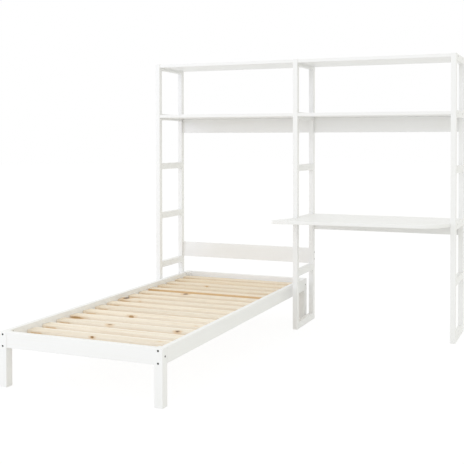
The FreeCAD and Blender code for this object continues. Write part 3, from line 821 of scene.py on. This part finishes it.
def steel_finish(name, colour, gloss, spangle):
    """Metal with fine marks and a cloudy gloss; spangle is the size of the clouds."""
    finish = material_finish(name)
    clouds = finish.noise(finish.place(), 1 / spangle, roughness=0.6)
    marks = finish.noise(finish.place(), 5200.0, detail=2.0)
    shade = 0.86 + clouds * 0.28
    tone = finish.blend(1.0, rgba(colour), finish.join(shade, shade, shade), "MULTIPLY")
    return finish.surface({
        "Base Color": tone,
        "Metallic": 1.0,
        "Roughness": gloss + (clouds - 0.5) * 0.22 + (marks - 0.5) * 0.10,
        "Normal": finish.bump(marks, 0.02 * MM, 0.3),
    })


def beech_finish(look):
    """Beech with soft streaks and the short dark flecks of its rays."""
    finish = material_finish("fluted_beech")
    x, y, z = finish.split(finish.place())
    along = finish.noise(finish.join(x * 0.5, y * 0.05, z), 700.0, roughness=0.6)
    flecks = finish.noise(finish.join(x, y * 0.12, z), 2200.0, detail=2.0)
    fleck = finish.step(flecks, low=0.60, high=0.70)
    shade = 0.84 + along * 0.32 - fleck * 0.22
    shades = finish.join(shade, shade * 0.99, shade * 0.97)
    colour = finish.blend(1.0, rgba(look.beech), shades, "MULTIPLY")
    return finish.surface({
        "Base Color": colour,
        "Roughness": 0.60 + (along - 0.5) * 0.2,
        "IOR": 1.45,
        "Normal": finish.bump(along - fleck * 0.4, 0.05 * MM, 0.4),
    })


class FastenerOperator(Operator):
    """Model the bolts, studs, screws and dowels again with threads, recesses and flutes"""

    bl_idname = "bed_finish.fasteners"
    bl_label = "Make the fasteners"

    def execute(self, context):
        look = context.scene.bed_finish.fasteners
        dark = steel_finish("dark_steel", look.steel, 0.38, 4 * MM)
        zinc = steel_finish("zinc_plate", look.zinc, 0.30, 6 * MM)
        beech = beech_finish(look)
        kinds = (
            ("bed_bolts", "turned_bed_bolts", bolt_body, dark, "bolt_steel"),
            ("shelf_bolts", "turned_shelf_bolts", bolt_body, dark, "bolt_steel"),
            ("middle_gable_studs", "threaded_studs", stud_body, zinc, "zinc_steel"),
            ("ledge_screws", "countersunk_screws", screw_body, dark, "bolt_steel"),
            ("gable_dowels", "fluted_gable_dowels", dowel_body, beech, "beech"),
            ("bed_dowels", "fluted_bed_dowels", dowel_body, beech, "beech"),
        )
        for node, name, make_body, material, slot in kinds:
            bodies = [placed(make_body(length, look), start, inward)
                      for start, inward, length in long_places(node)]
            add_piece(name, *joined(bodies), material, slot, (node,), smooth_below=40)
        dress(["shelf_barrel_nuts", "bed_barrel_nuts"], zinc)
        return {"FINISHED"}


# ---- tapes and staples ------------------------------------------------------------------------
TAPE_COLUMNS = 28
TAPE_ROWS_PER_SLAT = 24
TAPE_CORNER_POWER = 0.22      # 1 would be an ellipse, 0 a sharp oblong
STAPLE_COLUMNS = 8
STAPLE_BEND_STEPS = 6
STAPLE_FLATNESS = 0.55        # wire's thickness as a share of its width
STAPLE_SINK = 0.4             # crown's middle below the tape, in half wire widths


def tape_body(low, high, look):
    """A tape from end to end: rings of a rounded strip, let down between slats.

    sag(y) = -droop sin(pi g)^2, where g runs from 0 to 1 across the gap between two slats.
    """
    y = np.linspace(low[1], high[1], len(SLATS) * TAPE_ROWS_PER_SLAT + 1)
    place = ((y - low[1]) / SLAT_PITCH) % 1.0
    slat_share = 2 * SLAT_HALF / SLAT_PITCH
    across_gap = np.clip((place - slat_share) / (1 - slat_share), 0, 1)
    sag = -look.droop * np.sin(math.pi * across_gap) ** 2
    angle = turn_angles(TAPE_COLUMNS)
    half_width, half_thickness = (high[0] - low[0]) / 2, (high[2] - low[2]) / 2
    x = half_width * np.sign(np.sin(angle)) * np.abs(np.sin(angle)) ** TAPE_CORNER_POWER
    z = half_thickness * np.sign(np.cos(angle)) * np.abs(np.cos(angle)) ** TAPE_CORNER_POWER
    middle = (low + high) / 2
    shape = (len(y), TAPE_COLUMNS)
    return swept(np.stack([
        np.broadcast_to(middle[0] + x, shape),
        np.broadcast_to(y[:, None], shape),
        np.broadcast_to(middle[2] + z, shape) + sag[:, None]], -1))


def staple_rings(look):
    """A staple's wire: crown across x at the bottom, two legs up along z, and a flattened section.

    Each corner is a quarter circle: (c + r cos a, r + r sin a), a from pi to 3/2 pi and on to 2 pi.
    """
    bend, half, leg = 0.9 * MM, look.staple_crown / 2, look.staple_leg
    left = np.linspace(math.pi, 1.5 * math.pi, STAPLE_BEND_STEPS)
    right = np.linspace(1.5 * math.pi, 2 * math.pi, STAPLE_BEND_STEPS)
    left_bend = bend - half + bend * np.cos(left)
    right_bend = half - bend + bend * np.cos(right)
    x = np.concatenate([[-half], left_bend, right_bend, [half]])
    z = np.concatenate([[leg], bend + bend * np.sin(left), bend + bend * np.sin(right), [leg]])
    path_x, path_z = np.gradient(x), np.gradient(z)
    size = np.hypot(path_x, path_z)
    angle = turn_angles(STAPLE_COLUMNS) + math.pi / STAPLE_COLUMNS
    side = look.staple_wire * np.cos(angle)
    out = STAPLE_FLATNESS * look.staple_wire * np.sin(angle)
    return np.stack([
        x[:, None] - (path_z / size)[:, None] * out,
        np.broadcast_to(side, (len(x), STAPLE_COLUMNS)),
        z[:, None] + (path_x / size)[:, None] * out], -1)


def tape_finish(look):
    """Plain weave: each yarn is a ridge, and warp and weft take turns on top."""
    finish = material_finish("woven_tape")
    x, y, _ = finish.split(finish.place())
    u, v = x / look.yarn, y / look.yarn
    warp = finish.maths("SINE", finish.maths("FRACT", u) * math.pi)
    weft = finish.maths("SINE", finish.maths("FRACT", v) * math.pi)
    turn = finish.maths("FRACT", (finish.maths("FLOOR", u) + finish.maths("FLOOR", v)) * 0.5) * 2.0
    height = turn * warp * (0.6 + weft * 0.4) + (1.0 - turn) * weft * (0.6 + warp * 0.4)
    fuzz = finish.noise(finish.place(), 2600.0, roughness=0.6)
    # Painted shade: the weave is darker where a yarn dips under its neighbour, lighter on the ridges.
    shade = 0.72 + height * 0.26 + fuzz * 0.10
    shades = finish.join(shade, shade, shade * 0.985)
    colour = finish.blend(1.0, rgba(look.colour), shades, "MULTIPLY")
    return finish.surface({
        "Base Color": colour,
        "Roughness": 0.85 + (fuzz - 0.5) * 0.1,
        "Sheen Weight": 0.25,
        "Normal": finish.bump(height + fuzz * 0.25, 0.25 * MM, 0.7),
    })


class TapeOperator(Operator):
    """Weave the two tapes under the slats and staple each to every slat"""

    bl_idname = "bed_finish.tapes"
    bl_label = "Make the tapes"

    def execute(self, context):
        look = context.scene.bed_finish.tapes
        wire = staple_rings(look)
        tapes = []
        staples = []
        for points in islands("slat_tapes"):
            low, high = points.min(0), points.max(0)
            tapes.append(tape_body(low, high, look))
            middle = (low[0] + high[0]) / 2
            for k in range(len(SLATS)):
                y = FIRST_MIDDLE + k * SLAT_PITCH
                spot = np.array([middle, y, low[2] - STAPLE_SINK * look.staple_wire])
                staples.append(swept(wire + spot))
        add_piece("woven_tapes", *joined(tapes), tape_finish(look), "woven_tape",
                  ("slat_tapes",), smooth_below=50)
        zinc = steel_finish("staple_wire", look.staple_colour, 0.3, 3 * MM)
        add_piece("staples", *joined(staples), zinc, "zinc_steel", smooth_below=40)
        return {"FINISHED"}


# ---- stage ----------------------------------------------------------------------------------
FLOOR_RADIUS = 40.0
FLOOR_SIDES = 96
FLOOR_SHADOW = 0.13           # how much of its light the floor shows as shade
FLOOR_BRIGHTNESS = 0.8        # light on the open floor, which has to come out as white
SENSOR_WIDTH = 36.0           # millimetres
LAMP_SIZE = 3.5
LAMP_AIM = (0.0, 0.0, 0.8)
LAMPS = (
    ("left_lamp", (-6.0, -3.0, 2.6), "left_light"),
    ("front_lamp", (0.0, -7.5, 3.5), "front_light"),
)


def seen_share(finish):
    """1 for rays that show the surroundings: from the camera, in gloss or through glass."""
    path = finish.node("ShaderNodeLightPath", output="Is Camera Ray").socket.node
    rays = [Wire(finish, path.outputs[name])
            for name in ("Is Camera Ray", "Is Glossy Ray", "Is Transmission Ray")]
    return finish.maths("MINIMUM", rays[0] + rays[1] + rays[2], 1.0)


def floor_finish(look):
    """A pale floor that lights the object as it is, and shows white with a faint shadow."""
    finish = material_finish("pale_floor")
    diffuse = finish.node("ShaderNodeBsdfDiffuse", None, {"Color": rgba(look.floor_colour)})
    lit = finish.node("ShaderNodeEmission", None, {"Strength": look.floor_light})
    plain = finish.node("ShaderNodeAddShader", None, {0: diffuse, 1: lit})
    faint = finish.node("ShaderNodeBsdfDiffuse", None, {"Color": rgba((FLOOR_SHADOW,) * 3)})
    glow_strength = 1.0 - FLOOR_SHADOW * FLOOR_BRIGHTNESS
    glow = finish.node("ShaderNodeEmission", None, {"Strength": glow_strength})
    shown = finish.node("ShaderNodeAddShader", None, {0: faint, 1: glow})
    mixed = finish.node("ShaderNodeMixShader", None, {0: seen_share(finish), 1: plain, 2: shown})
    finish.node("ShaderNodeOutputMaterial", None, {"Surface": mixed})
    return finish.owner


def make_floor(look):
    """A flat round floor: points (r cos a, r sin a, 0) on one ring."""
    angle = turn_angles(FLOOR_SIDES)
    ring = FLOOR_RADIUS * np.stack([np.cos(angle), np.sin(angle), np.zeros_like(angle)], -1)
    mesh = bpy.data.meshes.new("floor")
    mesh.from_pydata(ring.tolist(), [], [list(range(len(ring)))])
    mesh.materials.append(floor_finish(look))
    floor = bpy.data.objects.new("floor", mesh)
    bpy.context.scene.collection.objects.link(floor)


def make_world(look):
    """Even studio light; white where the camera or a gloss sees it."""
    world = bpy.data.worlds.new("studio")
    bpy.context.scene.world = world
    finish = Finish(world)
    even = finish.node("ShaderNodeBackground", None,
                       {"Color": rgba(look.sky_colour), "Strength": look.sky_light})
    white = finish.node("ShaderNodeBackground", None,
                        {"Color": rgba((1.0, 1.0, 1.0)), "Strength": 1.0})
    mixed = finish.node("ShaderNodeMixShader", None, {0: seen_share(finish), 1: even, 2: white})
    finish.node("ShaderNodeOutputWorld", None, {"Surface": mixed})


def add_lamp(name, place, power, colour):
    """A square soft lamp at a place, turned to the middle of the bed and bookcase."""
    data = bpy.data.lights.new(name, "AREA")
    data.size = LAMP_SIZE
    data.energy = power
    data.color = colour
    lamp = bpy.data.objects.new(name, data)
    bpy.context.scene.collection.objects.link(lamp)
    lamp.location = place
    direction = np.array(LAMP_AIM) - np.array(place)
    lamp.rotation_euler = (
        math.atan2(math.hypot(direction[0], direction[1]), -direction[2]),
        0.0,
        math.atan2(direction[1], direction[0]) - math.pi / 2,
    )


def make_camera(look):
    """The photographer's place: 1.3 m up, before the bed's foot and to its right."""
    data = bpy.data.cameras.new("camera")
    data.lens = look.lens
    data.sensor_width = SENSOR_WIDTH
    data.shift_x = look.shift_x
    data.shift_y = look.shift_y
    camera = bpy.data.objects.new("camera", data)
    bpy.context.scene.collection.objects.link(camera)
    camera.location = look.camera_place
    camera.rotation_euler = (math.pi / 2 - look.camera_dip, 0.0, look.camera_turn)
    bpy.context.scene.camera = camera


class StageOperator(Operator):
    """Make the floor, the light and the camera"""

    bl_idname = "bed_finish.stage"
    bl_label = "Set the stage"

    def execute(self, context):
        look = context.scene.bed_finish.stage
        make_camera(look)
        make_floor(look)
        make_world(look)
        for name, place, power in LAMPS:
            add_lamp(name, place, getattr(look, power), look.lamp_colour)
        context.scene.view_settings.view_transform = "Standard"
        return {"FINISHED"}


# ---- panel ----------------------------------------------------------------------------------
class BedFinishPanel(Panel):
    """Settings and steps of the bed's finish"""

    bl_idname = "VIEW3D_PT_bed_finish"
    bl_label = "Bookcase Bed"
    bl_space_type = "VIEW_3D"
    bl_region_type = "UI"
    bl_category = "Bookcase Bed"

    def draw(self, context):
        settings = context.scene.bed_finish
        for name in SETTINGS:
            box = self.layout.box()
            box.label(text=name.capitalize())
            group = getattr(settings, name)
            for key in group.__annotations__:
                box.prop(group, key)
        for operator in OPERATORS:
            self.layout.operator(operator.bl_idname)


OPERATORS = (StageOperator, LacquerOperator, PineOperator, FastenerOperator, TapeOperator)
CLASSES = (*SETTINGS.values(), BedFinishSettings, *OPERATORS, BedFinishPanel)


def register():
    """Make the settings, steps and panel known."""
    for made in CLASSES:
        bpy.utils.register_class(made)
    bpy.types.Scene.bed_finish = PointerProperty(type=BedFinishSettings)


def unregister():
    """Take them back."""
    del bpy.types.Scene.bed_finish
    for made in reversed(CLASSES):
        bpy.utils.unregister_class(made)


def main():
    """Make the settings known, then run every step in order."""
    register()
    for operator in OPERATORS:
        group, name = operator.bl_idname.split(".")
        getattr(getattr(bpy.ops, group), name)()


if __name__ == "__main__":
    main()
